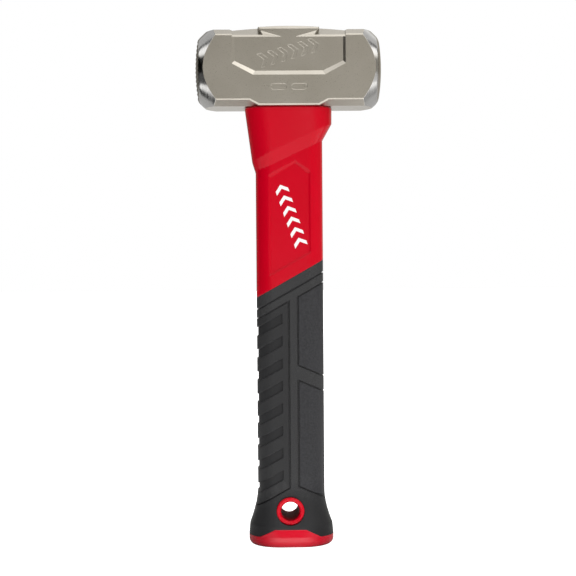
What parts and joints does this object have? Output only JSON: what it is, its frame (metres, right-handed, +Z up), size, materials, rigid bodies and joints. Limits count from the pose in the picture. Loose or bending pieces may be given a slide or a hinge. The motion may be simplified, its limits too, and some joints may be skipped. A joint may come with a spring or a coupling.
{
  "type": "lump hammer",
  "caption": "Short-handled lump hammer: double-faced forged head with one milled and one smooth face, overmoulded handle with a rubber grip and a lanyard hole in its flared butt.",
  "frame": {"origin": "centre of the butt's flat underside, directly below the middle of the head", "axes": "+Z up the handle to the head, X along the striking axis with the milled face at -X and the smooth face at +X, -Y the front"},
  "size_m": [0.1006, 0.0394, 0.2794],
  "materials": {
    "forged_steel": "satin nickel-grey coat on the cheeks, turned and polished ends",
    "bonding_resin": "cast epoxy",
    "fibreglass": "sawn end of a pultruded rod",
    "red_plastic": "satin moulded",
    "grip_rubber": "fine moulded grain",
    "red_cap_plastic": "satin moulded",
    "red_sleeve_plastic": "satin moulded"
  },
  "bodies": {
    "root": {"head": "forged_steel", "eye_bond": "bonding_resin", "fibreglass_core": "fibreglass", "handle_jacket": "red_plastic", "grip": "grip_rubber", "butt_cap": "red_cap_plastic", "lanyard_sleeve": "red_sleeve_plastic"}
  },
  "joints": []
}
